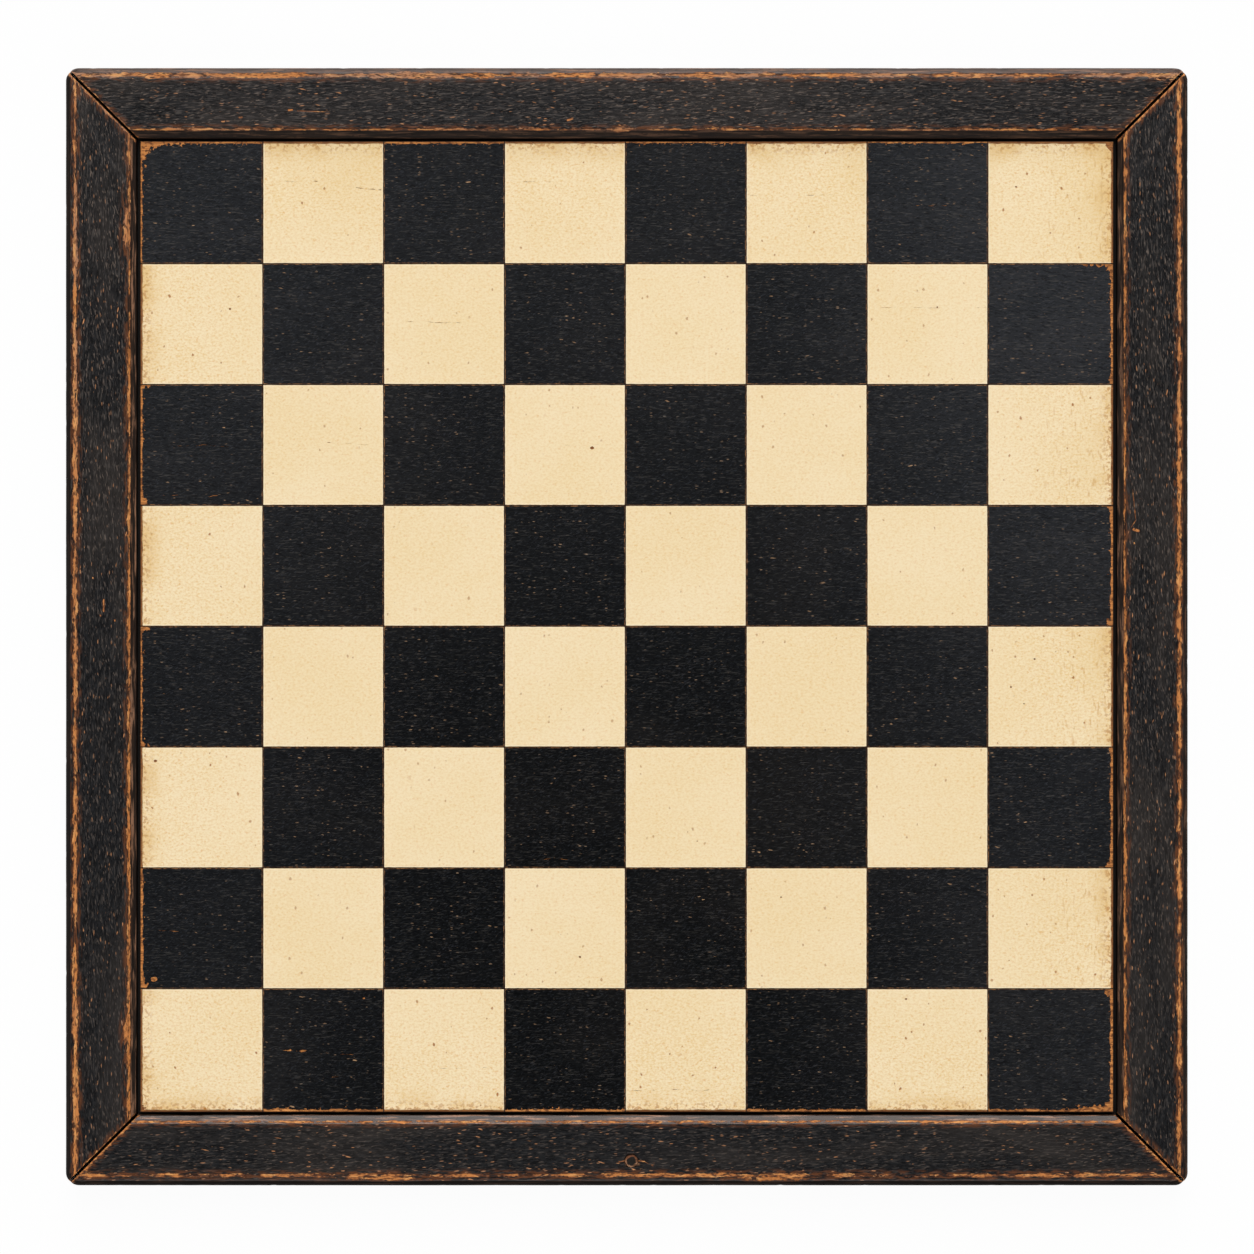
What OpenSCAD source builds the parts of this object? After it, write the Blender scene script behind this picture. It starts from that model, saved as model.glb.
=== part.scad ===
// Framed wooden game board: a mitred frame of four grooved rails round a floating painted panel.
// The board lies flat. X runs left to right, Y from the player's near side to the far side,
// Z up, and the origin is at the middle of the underside.

/* [Squares] */
// Side of one square, from scribed line to scribed line
square = 50; // [45:1:60]
// Squares along each side of the board
squares = 8; // [8:1:10]
// Sideways shift of the hand-laid squares from the panel's middle
field_shift_x = -0.6; // [-0.8:0.1:0.8]
// Shift of the squares towards the far side
field_shift_y = 0.2; // [-0.4:0.1:0.4]
// Thickness of the coats of paint
paint_t = 0.2; // [0.1:0.05:0.4]
// Bare wood left between the paint and the panel's edge
paint_margin = 1; // [0.6:0.1:1.4]

/* [Panel] */
// Wood beyond the eight squares at the left and right edges
side_margin = 1.5; // [1.2:0.1:6]
// Wood beyond the eight squares at the near and far edges
end_margin = 1; // [0.8:0.1:6]
// Thickness of the panel's boards
panel_t = 12; // [11:0.5:14]
// Width of a scribed line
scribe_w = 0.5; // [0.3:0.1:1]
// Depth of a scribed line
scribe_d = 0.4; // [0.2:0.1:0.8]
// Chamfer on the panel's upper edge
panel_ease = 0.5; // [0.2:0.1:0.6]
// Thickness of the tongue round the panel
tongue_t = 6; // [5:0.5:6.5]
// Wood above the tongue, from the panel's face
tongue_drop = 3.7; // [3:0.1:4.2]
// How far the tongue reaches into the rails
tongue_reach = 7.5; // [5:0.5:9]
// Distance of the far glue line from the panel's middle
far_seam = 66; // [55:1:90]
// Distance of the near glue line from the panel's middle
near_seam = 71; // [55:1:90]

/* [Rails] */
// Width of a rail
rail_w = 29.2; // [26:0.2:36]
// Height of a rail
rail_h = 19; // [18.5:0.5:24]
// Height of the rails' top above the panel's bare face
rail_rise = 3; // [2.6:0.1:3.4]
// Radius of the frame's outer corners in plan
corner_r = 5.5; // [4:0.5:9]
// Radius of the rounded outer top edge
outer_round = 3.3; // [2:0.1:3.8]
// Radius of the eased outer bottom edge
foot_round = 1; // [0.5:0.1:2]
// Width of the bevel on the inner top edge
bevel_w = 3.2; // [2:0.1:5]
// Depth of the bevel on the inner top edge
bevel_d = 2.4; // [1.5:0.1:2.8]
// Gap between the panel and the left and right rails
side_gap = 1.4; // [0.8:0.1:2]
// Gap between the panel and the top and bottom rails
end_gap = 1; // [0.6:0.1:2]
// Room for the panel to swell, at the bottom of the rails' groove
groove_room = 1.5; // [0.5:0.1:2]
// Play above the tongue in the groove
tongue_play = 0.2; // [0.1:0.05:0.4]

/* [Mitres] */
// Width of the open joint at each corner
mitre_gap = 0.6; // [0.2:0.1:0.8]
// Length of a spline along its mitre
spline_l = 14; // [10:1:15]
// Width of a spline across its mitre
spline_w = 12; // [8:1:13]
// Thickness of a spline
spline_t = 4; // [3:0.5:5]
// Distance of a spline's middle from the frame's outer corner, along the mitre
spline_in = 19.5; // [18.5:0.5:20]
// Play round the edges of a spline in its slot
spline_play = 0.3; // [0.1:0.1:0.5]

/* [Nails] */
// Diameter of a nail's shank
nail_d = 1.6; // [1.2:0.1:2]
// Length of a nail
nail_l = 35; // [25:1:40]
// Length of a nail's point
nail_point = 2.5; // [1.5:0.5:4]
// Diameter of a nail's head
nail_head_d = 3; // [2.4:0.1:3.4]
// Thickness of a nail's head
nail_head_t = 1; // [0.6:0.1:1.4]
// How far a nail's head is set below the wood
nail_set = 0.6; // [0:0.1:1]
// Distance of a nail from the frame's outer corner
nail_in = 9; // [8:0.5:11]
// Distance of the nails above and below the splines' middle
nail_off = 4.8; // [4.4:0.1:5]

/* [Plug] */
// Diameter of the round plug in the bottom rail
plug_d = 5.6; // [4:0.2:8]
// Length of the plug
plug_l = 12; // [8:0.5:15]
// Chamfer round the plug's top
plug_ease = 0.5; // [0.2:0.1:1]
// Sideways place of the plug from the middle of the rail
plug_x = 1.9; // [-20:0.1:20]
// Distance of the plug from the frame's outer edge
plug_in = 10.5; // [9:0.5:14]

/* [Hidden] */
$fn = 48;

// Cutters run this far past the wood that they cut
over = 1;

// Plan sizes, from the squares outwards
panel_w = squares * square + 2 * side_margin;
panel_h = squares * square + 2 * end_margin;
frame_w = panel_w + 2 * (side_gap + rail_w);
frame_h = panel_h + 2 * (end_gap + rail_w);

// Heights
face_z = rail_h - rail_rise;
panel_z = face_z - panel_t;
tongue_top = face_z - tongue_drop;
tongue_z = tongue_top - tongue_t;
groove_d = tongue_reach + groove_room;
spline_z = tongue_z + tongue_t / 2;

// The tongue's outer size
tongue_w = panel_w + 2 * (side_gap + tongue_reach);
tongue_h = panel_h + 2 * (end_gap + tongue_reach);

// Signs of the four corners, in X and Y
CORNERS = [[-1, 1], [1, 1], [-1, -1], [1, -1]];

rail_colour = [0.17, 0.16, 0.155];
wood_colour = [0.66, 0.45, 0.27];
spline_colour = [0.78, 0.62, 0.42];
nail_colour = [0.45, 0.43, 0.41];
dark_colour = [0.13, 0.135, 0.14];
light_colour = [0.94, 0.85, 0.68];

// Place of the scribed line number i, counted from the panel's left or near edge
function line_x(i) = field_shift_x + (i - squares / 2) * square;
function line_y(i) = field_shift_y + (i - squares / 2) * square;

// Edges of the paint on the squares of column or row i: beside a scribed line, or at the rim
function paint_x0(i) = i == 0 ? -panel_w / 2 + paint_margin : line_x(i) + scribe_w / 2;
function paint_x1(i) = i == squares - 1 ? panel_w / 2 - paint_margin : line_x(i + 1) - scribe_w / 2;
function paint_y0(i) = i == 0 ? -panel_h / 2 + paint_margin : line_y(i) + scribe_w / 2;
function paint_y1(i) = i == squares - 1 ? panel_h / 2 - paint_margin : line_y(i + 1) - scribe_w / 2;

// What lies outside a quarter round of radius r, with the round's centre at the origin
module quarter_waste(r) {
    difference() {
        square(r + over);
        circle(r);
    }
}

// Section of a rail without its groove: inner edge at 0, outer edge at rail_w
module rail_block_section() {
    difference() {
        polygon([[0, 0], [rail_w, 0], [rail_w, rail_h], [bevel_w, rail_h], [0, rail_h - bevel_d]]);
        translate([rail_w - outer_round, rail_h - outer_round]) quarter_waste(outer_round);
        translate([rail_w - foot_round, foot_round]) mirror([0, 1]) quarter_waste(foot_round);
    }
}

// Section of a rail with the groove for the panel's tongue
module rail_section() {
    difference() {
        rail_block_section();
        translate([-over, tongue_z]) square([groove_d + over, tongue_t + tongue_play]);
    }
}

// The outer corner of the frame: the rail's outer edge carried round the corner's radius
module corner_round() {
    rotate_extrude()
        intersection() {
            translate([corner_r - rail_w, 0]) rail_block_section();
            square([corner_r, rail_h]);
        }
}

// Plan of a mitred rail whose outer edge is the given length, outer edge towards +Y
module mitre_plan(length) {
    // A mitre face stands back from the corner's diagonal by half the joint
    back = mitre_gap / sqrt(2);
    polygon([
        [-length / 2 + back - over, rail_w + over],
        [length / 2 - back + over, rail_w + over],
        [length / 2 - back - rail_w - over, -over],
        [-length / 2 + back + rail_w + over, -over]
    ]);
}

// A mitred and grooved rail of the given outer length, inner edge on Y = 0, outer edge towards +Y
module mitred_rail(length) {
    straight = length - 2 * corner_r;
    intersection() {
        union() {
            translate([-straight / 2, 0, 0])
                rotate([90, 0, 90]) linear_extrude(straight) rail_section();
            for (side = [-1, 1])
                translate([side * straight / 2, rail_w - corner_r, 0]) corner_round();
        }
        translate([0, 0, -over]) linear_extrude(rail_h + 2 * over) mitre_plan(length);
    }
}

// A flat piece lying across the mitre of one corner, in the direction of that corner
module across_mitre(corner, length, width, thickness) {
    turn = atan2(corner[1], corner[0]);
    translate([corner[0] * frame_w / 2, corner[1] * frame_h / 2, spline_z])
        rotate([0, 0, turn])
            translate([-spline_in, 0, 0])
                cube([length, width, thickness], center = true);
}

module spline(corner) {
    color(spline_colour) across_mitre(corner, spline_l, spline_w, spline_t);
}

module spline_slots() {
    for (corner = CORNERS)
        across_mitre(corner, spline_l + 2 * spline_play, spline_w + 2 * spline_play, spline_t);
}

// A nail along +X, with the outer face of the wood at X = 0
module nail() {
    shank_end = nail_set + nail_l - nail_point;
    rotate([0, 90, 0]) {
        translate([0, 0, nail_set]) cylinder(d = nail_head_d, h = nail_head_t);
        translate([0, 0, nail_set]) cylinder(d = nail_d, h = nail_l - nail_point);
        translate([0, 0, shank_end]) cylinder(d1 = nail_d, d2 = nail_d / 4, h = nail_point);
    }
}

// The nail's hole: the nail itself and the way that its head went in
module nail_hole() {
    nail();
    rotate([0, 90, 0]) translate([0, 0, -over]) cylinder(d = nail_head_d, h = nail_set + over);
}

// One child at each nail: low ones through the side rails, high ones through the other two
module at_nails() {
    for (corner = CORNERS) {
        translate([corner[0] * frame_w / 2, corner[1] * (frame_h / 2 - nail_in), spline_z - nail_off])
            rotate([0, 0, corner[0] > 0 ? 180 : 0]) children();
        translate([corner[0] * (frame_w / 2 - nail_in), corner[1] * frame_h / 2,
                   spline_z + nail_off])
            rotate([0, 0, corner[1] > 0 ? -90 : 90]) children();
    }
}

module corner_nails() {
    color(nail_colour) at_nails() nail();
}

// Where the plug stands, with the top of the rail at Z = 0
module at_plug() {
    translate([plug_x, -frame_h / 2 + plug_in, rail_h]) children();
}

module hole_plug() {
    color(rail_colour) at_plug() {
        translate([0, 0, -plug_l]) cylinder(d = plug_d, h = plug_l - plug_ease);
        translate([0, 0, -plug_ease])
            cylinder(d1 = plug_d, d2 = plug_d - 2 * plug_ease, h = plug_ease);
    }
}

// Cuts the joints at the corners out of a rail in its place on the board
module jointed() {
    color(rail_colour) difference() {
        children();
        spline_slots();
        at_nails() nail_hole();
    }
}

module rail_top() {
    jointed() translate([0, frame_h / 2 - rail_w, 0]) mitred_rail(frame_w);
}

module rail_bottom() {
    jointed() difference() {
        translate([0, -frame_h / 2 + rail_w, 0]) rotate([0, 0, 180]) mitred_rail(frame_w);
        at_plug() translate([0, 0, -plug_l]) cylinder(d = plug_d, h = plug_l + over);
    }
}

module rail_left() {
    jointed() translate([-frame_w / 2 + rail_w, 0, 0]) rotate([0, 0, 90]) mitred_rail(frame_h);
}

module rail_right() {
    jointed() translate([frame_w / 2 - rail_w, 0, 0]) rotate([0, 0, -90]) mitred_rail(frame_h);
}

// Waste of the chamfer along one upper edge of the panel, the edge being at Y = half
module edge_waste(length, half) {
    translate([-length / 2, half, face_z])
        rotate([90, 0, 90])
            linear_extrude(length)
                polygon([[-panel_ease, 0], [0, -panel_ease], [over, -panel_ease], [over, over],
                         [-panel_ease, over]]);
}

// The whole glued panel: the field with its tongue all round, eased edges and scribed lines
module panel() {
    difference() {
        union() {
            translate([-panel_w / 2, -panel_h / 2, panel_z]) cube([panel_w, panel_h, panel_t]);
            translate([-tongue_w / 2, -tongue_h / 2, tongue_z])
                cube([tongue_w, tongue_h, tongue_t]);
        }
        for (turn = [0, 180]) {
            rotate([0, 0, turn]) edge_waste(tongue_w, panel_h / 2);
            rotate([0, 0, turn + 90]) edge_waste(tongue_h, panel_w / 2);
        }
        for (i = [1 : squares - 1]) {
            translate([line_x(i) - scribe_w / 2, -tongue_h / 2, face_z - scribe_d])
                cube([scribe_w, tongue_h, scribe_d + over]);
            translate([-tongue_w / 2, line_y(i) - scribe_w / 2, face_z - scribe_d])
                cube([tongue_w, scribe_w, scribe_d + over]);
        }
    }
}

// One board of the panel, between the glue lines at y0 and y1
module panel_board(y0, y1) {
    color(wood_colour) intersection() {
        panel();
        translate([-frame_w / 2, y0, 0]) cube([frame_w, y1 - y0, rail_h]);
    }
}

module panel_board_top() {
    panel_board(far_seam, frame_h / 2);
}

module panel_board_middle() {
    panel_board(-near_seam, far_seam);
}

module panel_board_bottom() {
    panel_board(-frame_h / 2, -near_seam);
}

// The coat of paint on every second square. The near right corner square is dark.
module painted_squares(dark) {
    for (i = [0 : squares - 1], j = [0 : squares - 1])
        if (((squares - 1 - i + j) % 2 == 0) == dark)
            translate([paint_x0(i), paint_y0(j), face_z])
                cube([paint_x1(i) - paint_x0(i), paint_y1(j) - paint_y0(j), paint_t]);
}

module dark_squares() {
    color(dark_colour) painted_squares(true);
}

module light_squares() {
    color(light_colour) painted_squares(false);
}

rail_top();
rail_bottom();
rail_left();
rail_right();
spline(CORNERS[0]);  // spline_top_left
spline(CORNERS[1]);  // spline_top_right
spline(CORNERS[2]);  // spline_bottom_left
spline(CORNERS[3]);  // spline_bottom_right
corner_nails();
hole_plug();
panel_board_top();
panel_board_middle();
panel_board_bottom();
dark_squares();
light_squares();
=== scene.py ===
import math

import bmesh
import bpy
import numpy as np
from mathutils import Matrix, Vector, geometry


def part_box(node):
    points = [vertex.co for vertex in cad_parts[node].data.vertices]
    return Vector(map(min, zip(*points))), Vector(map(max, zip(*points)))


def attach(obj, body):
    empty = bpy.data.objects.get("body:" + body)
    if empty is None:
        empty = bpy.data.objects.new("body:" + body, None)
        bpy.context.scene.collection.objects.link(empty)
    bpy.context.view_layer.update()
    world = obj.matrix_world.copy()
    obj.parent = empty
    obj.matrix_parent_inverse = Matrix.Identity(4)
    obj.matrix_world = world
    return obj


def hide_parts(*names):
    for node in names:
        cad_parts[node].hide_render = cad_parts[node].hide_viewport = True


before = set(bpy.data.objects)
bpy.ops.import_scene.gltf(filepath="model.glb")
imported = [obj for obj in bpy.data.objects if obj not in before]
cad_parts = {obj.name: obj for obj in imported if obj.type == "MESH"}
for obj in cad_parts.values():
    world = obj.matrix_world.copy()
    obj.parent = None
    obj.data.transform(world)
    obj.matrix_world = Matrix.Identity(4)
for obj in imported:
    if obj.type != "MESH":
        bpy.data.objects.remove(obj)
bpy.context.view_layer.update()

MM = 0.001


def box_mm(node):
    """The lowest and highest corners of a CAD node, in millimetres"""
    low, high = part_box(node)
    return np.array(low) / MM, np.array(high) / MM


# Sizes that the frame gives: the board's half width and half height, and a rail's width and height
rail_low, rail_high = box_mm("rail_top")
HALF_W = float(box_mm("rail_right")[1][0])
HALF_H = float(rail_high[1])
RAIL_W = float(rail_high[1] - rail_low[1])
RAIL_H = float(rail_high[2])
paint_low, paint_high = box_mm("dark_squares")
FACE_Z = float(paint_low[2])
PAINT_Z = float(paint_high[2])
plug_low, plug_high = box_mm("hole_plug")
PLUG_X, PLUG_Y, _ = (float(size) for size in (plug_low + plug_high) / 2)
PLUG_R = float(plug_high[0] - plug_low[0]) / 2
PLUG_Z = float(plug_low[2])
GROOVE_Z = 6.3
GROOVE_TOP = 12.5

# Sizes of the rails' section and corners, as they are built
OUTER_ROUND = 3.3
FOOT_ROUND = 1.0
BEVEL_W = 3.2
BEVEL_D = 2.4
GROOVE_D = 9.0
CORNER_R = 5.5
MITRE_GAP = 1.2
MITRE_SHUT = 0.01
SHUT_BELOW = 13.2
SHUT_OUTSIDE = 16.4
OPENS_OVER = 2.0

# The nails: how far their heads are set in, their heads' radius, and where they enter the rails
NAIL_SET = 0.6
NAIL_HEAD_R = 1.5
NAIL_IN = 9.0
NAIL_LOW = 4.5
NAIL_HIGH = 14.1

# The squares, counted from the left and from the near side
SQUARES = 8
SQUARE = 50.0
FIELD_X = -0.6
FIELD_Y = 0.2
SCRIBE_W = 0.5

# The panel's half width and half height inside its tongue
PANEL_X = 201.5
PANEL_Y = 201.0

NOISE_CELLS = 256


def lattice_noise(x, y, seed):
    """Smooth noise between 0 and 1, with about one hump or hollow to each unit of x and of y"""
    table = np.random.default_rng(seed).random((NOISE_CELLS, NOISE_CELLS))
    column = np.floor(x).astype(int)
    row = np.floor(y).astype(int)
    u = x - column
    v = y - row
    u = u * u * (3 - 2 * u)
    v = v * v * (3 - 2 * v)
    column, right = column % NOISE_CELLS, (column + 1) % NOISE_CELLS
    row, above = row % NOISE_CELLS, (row + 1) % NOISE_CELLS
    low = table[row, column] * (1 - u) + table[row, right] * u
    high = table[above, column] * (1 - u) + table[above, right] * u
    return low * (1 - v) + high * v


def rough_noise(x, y, seed, octaves=3):
    """Noise between 0 and 1 whose humps carry finer humps"""
    total, weight, weights = 0.0, 1.0, 0.0
    for octave in range(octaves):
        finer = 2 ** octave
        total = total + weight * lattice_noise(x * finer, y * finer, seed + octave)
        weights += weight
        weight /= 2
    return total / weights


def smooth_step(value, low, high):
    """0 below low, 1 above high, and a smooth rise between them"""
    t = np.clip((value - low) / (high - low), 0, 1)
    return t * t * (3 - 2 * t)


def new_object(name, data):
    """An object with the given mesh, lamp or camera, linked into the scene"""
    made = bpy.data.objects.new(name, data)
    bpy.context.scene.collection.objects.link(made)
    return made


def circle(sides):
    """Directions in plan, evenly spaced round a circle"""
    angles = [2 * math.pi * side / sides for side in range(sides)]
    return [(math.cos(angle), math.sin(angle)) for angle in angles]


def new_piece(name, points, faces):
    """A mesh piece from points in millimetres, riding on the board"""
    mesh = bpy.data.meshes.new(name)
    mesh.from_pydata((np.asarray(points) * MM).tolist(), [], faces)
    mesh.validate()
    piece = new_object(name, mesh)
    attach(piece, "root")
    return piece


def smooth_shading(mesh, angle):
    """Smooth shading, with an edge kept crisp where its faces meet at more than the angle, in degrees"""
    mesh.shade_smooth()
    mesh.set_sharp_from_angle(angle=math.radians(angle))


# The rails. Each is drawn in its own frame first: x along it from its middle, y across it from its
# inner edge, and z up. For each rail: its turn, half its outer length, how far its outer edge is from
# the board's middle, how far the worn band of the outer arris is from the outer edge and its half
# width, where the worn band of the bevel starts and its width, how rough the outer edge and the bevel
# are, how streaky they are, the colour of the outer edge, how wide the two mitres are worn, how much
# pale sheen lies on the worn wood, and a seed. The streaks, the outer edge's colour and the pale sheen
# differ from side to side and are in part painted highlights: the far rail's outer edge and the near
# rail's bevel are painted lighter, and the sheen is painted strongest on the far and left rails.
RAILS = {
    "rail_top": dict(turn=0, half=HALF_W, reach=HALF_H, arris=(3.45, 0.85), bevel=(3.0, 0.65),
                     rough=(0.36, 0.6), streaks=(0.6, 0.35), edge=(86, 62, 50), mitres=(0.35, 0.4),
                     fading_and_sheen=0.9, seed=100),
    "rail_right": dict(turn=-90, half=HALF_H, reach=HALF_W, arris=(3.9, 0.95), bevel=(2.4, 0.95),
                       rough=(0.8, 0.5), streaks=(0.3, 0.6), edge=(30, 16, 9), mitres=(0.75, 0.4),
                       fading_and_sheen=0.2, seed=200),
    "rail_bottom": dict(turn=180, half=HALF_W, reach=HALF_H, arris=(4.65, 0.55), bevel=(2.1, 0.85),
                        rough=(0.95, 0.18), streaks=(0.1, 1.0), edge=(16, 9, 5), mitres=(0.75, 0.75),
                        fading_and_sheen=0.1, seed=300),
    "rail_left": dict(turn=90, half=HALF_H, reach=HALF_W, arris=(4.2, 0.9), bevel=(2.2, 1.1),
                      rough=(0.85, 0.5), streaks=(0.05, 1.0), edge=(16, 10, 7), mitres=(0.4, 0.75),
                      fading_and_sheen=0.7, seed=400),
}


def rail_to_board(rail, x, y):
    """Places on the board of points in a rail's own frame"""
    turn = math.radians(rail["turn"])
    out = y + rail["reach"] - RAIL_W
    return x * math.cos(turn) - out * math.sin(turn), x * math.sin(turn) + out * math.cos(turn)


def board_to_rail(rail, x, y):
    """Places in a rail's own frame of points on the board"""
    turn = math.radians(rail["turn"])
    along = x * math.cos(turn) + y * math.sin(turn)
    out = -x * math.sin(turn) + y * math.cos(turn)
    return along, out - rail["reach"] + RAIL_W


def rounded_outline(corners):
    """A closed outline through corners of (y, z, radius, steps), each rounded by its radius"""
    points = []
    for number, (y, z, radius, steps) in enumerate(corners):
        here = Vector((y, z))
        if radius == 0:
            points.append(here)
            continue
        back = (Vector(corners[number - 1][:2]) - here).normalized()
        on = (Vector(corners[(number + 1) % len(corners)][:2]) - here).normalized()
        half_angle = back.angle(on) / 2
        middle = here + (back + on).normalized() * radius / math.sin(half_angle)
        first = here + back * radius / math.tan(half_angle) - middle
        last = here + on * radius / math.tan(half_angle) - middle
        for step in range(steps + 1):
            points.append(middle + first.lerp(last, step / steps).normalized() * radius)
    return points


# Distances from an arris of the closely set points beside it
NEAR_ARRIS = (0.4, 0.9, 1.6, 2.6, 4.2)


def graded(length, widest):
    """Distances along a straight stretch, close together at both ends and widest apart in the middle"""
    near = [distance for distance in NEAR_ARRIS if distance < length / 2]
    start = near[-1] if near else 0
    count = max(1, math.ceil((length - 2 * start) / widest))
    middle = [start + (length - 2 * start) * step / count for step in range(1, count)]
    return near + middle + [length - distance for distance in reversed(near)]


def rail_section():
    """The section of a rail as rows of y, z and its outward direction, going round it once"""
    corners = [
        (0, 0, 0.4, 2), (RAIL_W, 0, FOOT_ROUND, 4), (RAIL_W, RAIL_H, OUTER_ROUND, 11),
        (BEVEL_W, RAIL_H, 1.2, 4), (0, RAIL_H - BEVEL_D, 0.7, 4), (0, GROOVE_TOP, 0, 0),
        (GROOVE_D, GROOVE_TOP, 0, 0), (GROOVE_D, GROOVE_Z, 0, 0), (0, GROOVE_Z, 0, 0),
    ]
    outline = rounded_outline(corners)
    points = []
    for here, after in zip(outline, outline[1:] + outline[:1]):
        points.append(here)
        stretch = after - here
        seen = min(here.y, after.y) > GROOVE_TOP or max(here.x, after.x) >= RAIL_W - 0.01
        if seen and stretch.length > 1:
            points += [here + stretch * share / stretch.length for share in graded(stretch.length, 2.4)]
    rows = np.array(points)
    tangent = np.roll(rows, -1, 0) - np.roll(rows, 1, 0)
    tangent /= np.linalg.norm(tangent, axis=1)[:, None]
    return np.column_stack([rows, tangent[:, 1], -tangent[:, 0]])


def rail_stations(half):
    """Places along a rail from mitre to mitre, as shares of its half length"""
    ends = [0, 0.25, 0.6, 1.0, 1.5, 2.1, 2.8, 3.6, 4.5, 5.6, 7.0]
    count = round((half - ends[-1]) / 1.6)
    rest = [ends[-1] + (half - ends[-1]) * step / count for step in range(1, count + 1)]
    shares = [1 - distance / half for distance in ends + rest]
    return np.array([-share for share in shares] + shares[-2::-1])


def follow_rail(half, share, y, z):
    """Places in plan of points at a share of a rail's half length, at y across it and at height z.

    The outer part of the rail turns the frame's corner on its radius, and all of it stops at the mitre.
    Dirt and old paint have all but shut the mitre below its upper few millimetres."""
    shut_below = SHUT_BELOW + (SHUT_OUTSIDE - SHUT_BELOW) * smooth_step(y, RAIL_W - 3.5, RAIL_W - 1.5)
    gap = MITRE_SHUT + (MITRE_GAP - MITRE_SHUT) * smooth_step(z, shut_below, shut_below + OPENS_OVER)
    back = gap / math.sqrt(2)
    bend = y - (RAIL_W - CORNER_R)
    turns = bend > back
    radius = np.where(turns, bend, 1.0)
    last_angle = math.pi / 4 - np.arcsin(np.minimum(gap / 2 / radius, 1))
    straight = half - CORNER_R
    reach = np.where(turns, straight + radius * last_angle, half - RAIL_W + y - back)
    travelled = np.abs(share) * reach
    angle = np.where(turns, np.maximum(travelled - straight, 0) / radius, 0)
    x = np.where(angle > 0, straight + radius * np.sin(angle), travelled)
    across = np.where(angle > 0, RAIL_W - CORNER_R + radius * np.cos(angle), y)
    return np.sign(share) * x, across


def unbend(half, x, y):
    """Distance along a rail and place across it, as if its rounded ends were straight"""
    past = np.maximum(np.abs(x) - (half - CORNER_R), 0)
    out = y - (RAIL_W - CORNER_R)
    turned = (past > 0) & (out > 0)
    radius = np.hypot(past, out)
    along = np.where(turned, half - CORNER_R + radius * np.arctan2(past, out), np.abs(x))
    return np.sign(x) * along, np.where(turned, RAIL_W - CORNER_R + radius, y)


# Patches rubbed down to the wood beside the arrises: place on the board, half length along the rail
# and half width across it
RAIL_PATCHES = {
    "rail_top": [(-3, 205.4, 4, 1.1), (-150, 227.6, 26, 1.2)],
    "rail_right": [],
    "rail_bottom": [(60, -228, 12, 0.9), (-100, -228, 14, 0.9)],
    "rail_left": [(-206.5, 165, 9, 1.4), (-206.5, -167, 5, 1.6), (-227.5, -196, 16, 1.2)],
}

# Scratches and dents down to the wood: where they start and end on the board, and their half width
SCRATCHES = {
    "rail_top": [(-139.6, 213.3, -138.2, 213.4, 0.4), (-136, 213.0, -123, 212.6, 0.16),
                 (-160, 210.3, -159, 210.3, 0.35), (-167.2, 208.7, -166.2, 208.7, 0.35),
                 (-24.4, 209.2, -22.6, 209.7, 0.45)],
    "rail_right": [(208.9, 56.6, 210.2, 44.0, 0.14), (210.2, 44.0, 208.4, 41.2, 0.14),
                   (209.4, 40.2, 211.2, 39.6, 0.6), (209.5, 34.7, 209.6, 34.4, 0.3)],
    "rail_bottom": [(-3.3, -221.0, -0.9, -220.6, 0.24), (4.8, -220.6, 7.2, -220.8, 0.22),
                    (7.2, -220.8, 8.7, -221.6, 0.14), (10.4, -222.4, 10.8, -222.6, 0.3)],
    "rail_left": [(-216.0, 11.1, -216.0, 6.5, 0.4), (-220.5, 20.3, -220.5, 20.0, 0.3),
                  (-217.4, 4.7, -217.4, 4.4, 0.3), (-211.4, 2.8, -211.4, 2.5, 0.3)],
}


# The depth of wear where there is none, in mm
FAR_FROM_WEAR = -20.0


def bare_depth(name, x, y, z):
    """How far inside its worn wood each point of a rail lies, in mm: below 0 the paint still covers it"""
    rail = RAILS[name]
    seed = rail["seed"]
    along, across = unbend(rail["half"], x, y)
    far_along = along + rail["half"]
    outer_edge, outer_half = rail["arris"]
    bevel_start, bevel_width = rail["bevel"]
    slow = rough_noise(far_along / 38, 0 * x, seed, 3)
    quick = rough_noise(far_along / 5, across / 4, seed + 5, 2) - 0.5
    outer_band = outer_half * (0.45 + 1.0 * slow) + 1.3 * quick - np.abs(RAIL_W - outer_edge - across)
    slow = rough_noise(far_along / 30, 0 * x, seed + 10, 3)
    quick = rough_noise(far_along / 4, across / 4, seed + 15, 2) - 0.5
    from_bevel = (across - bevel_start + 0.2 * quick) * 2.5
    to_flat = bevel_start + bevel_width * (0.45 + 1.1 * slow) + 0.9 * quick - across
    patches = [FAR_FROM_WEAR + 0 * x]
    for patch_x, patch_y, long_way, cross_way in RAIL_PATCHES[name]:
        centre_x, centre_y = board_to_rail(rail, patch_x, patch_y)
        off = np.hypot((x - centre_x) / long_way, (y - centre_y) / cross_way)
        patches.append((1 - off) * cross_way)
    mitre = (rail["half"] - RAIL_W + y - MITRE_GAP / math.sqrt(2) - np.abs(x)) / math.sqrt(2)
    at_mitre = np.where(x < 0, *rail["mitres"])
    edge = at_mitre * (0.5 + rough_noise(far_along / 3, across / 3, seed + 30, 2)) - mitre
    worn = np.maximum(np.maximum(outer_band, np.minimum(from_bevel, to_flat)), np.max(patches, axis=0))
    worn = np.maximum(worn, edge)
    upper = z > GROOVE_TOP + 1
    return np.where(upper, worn, FAR_FROM_WEAR)


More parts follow.
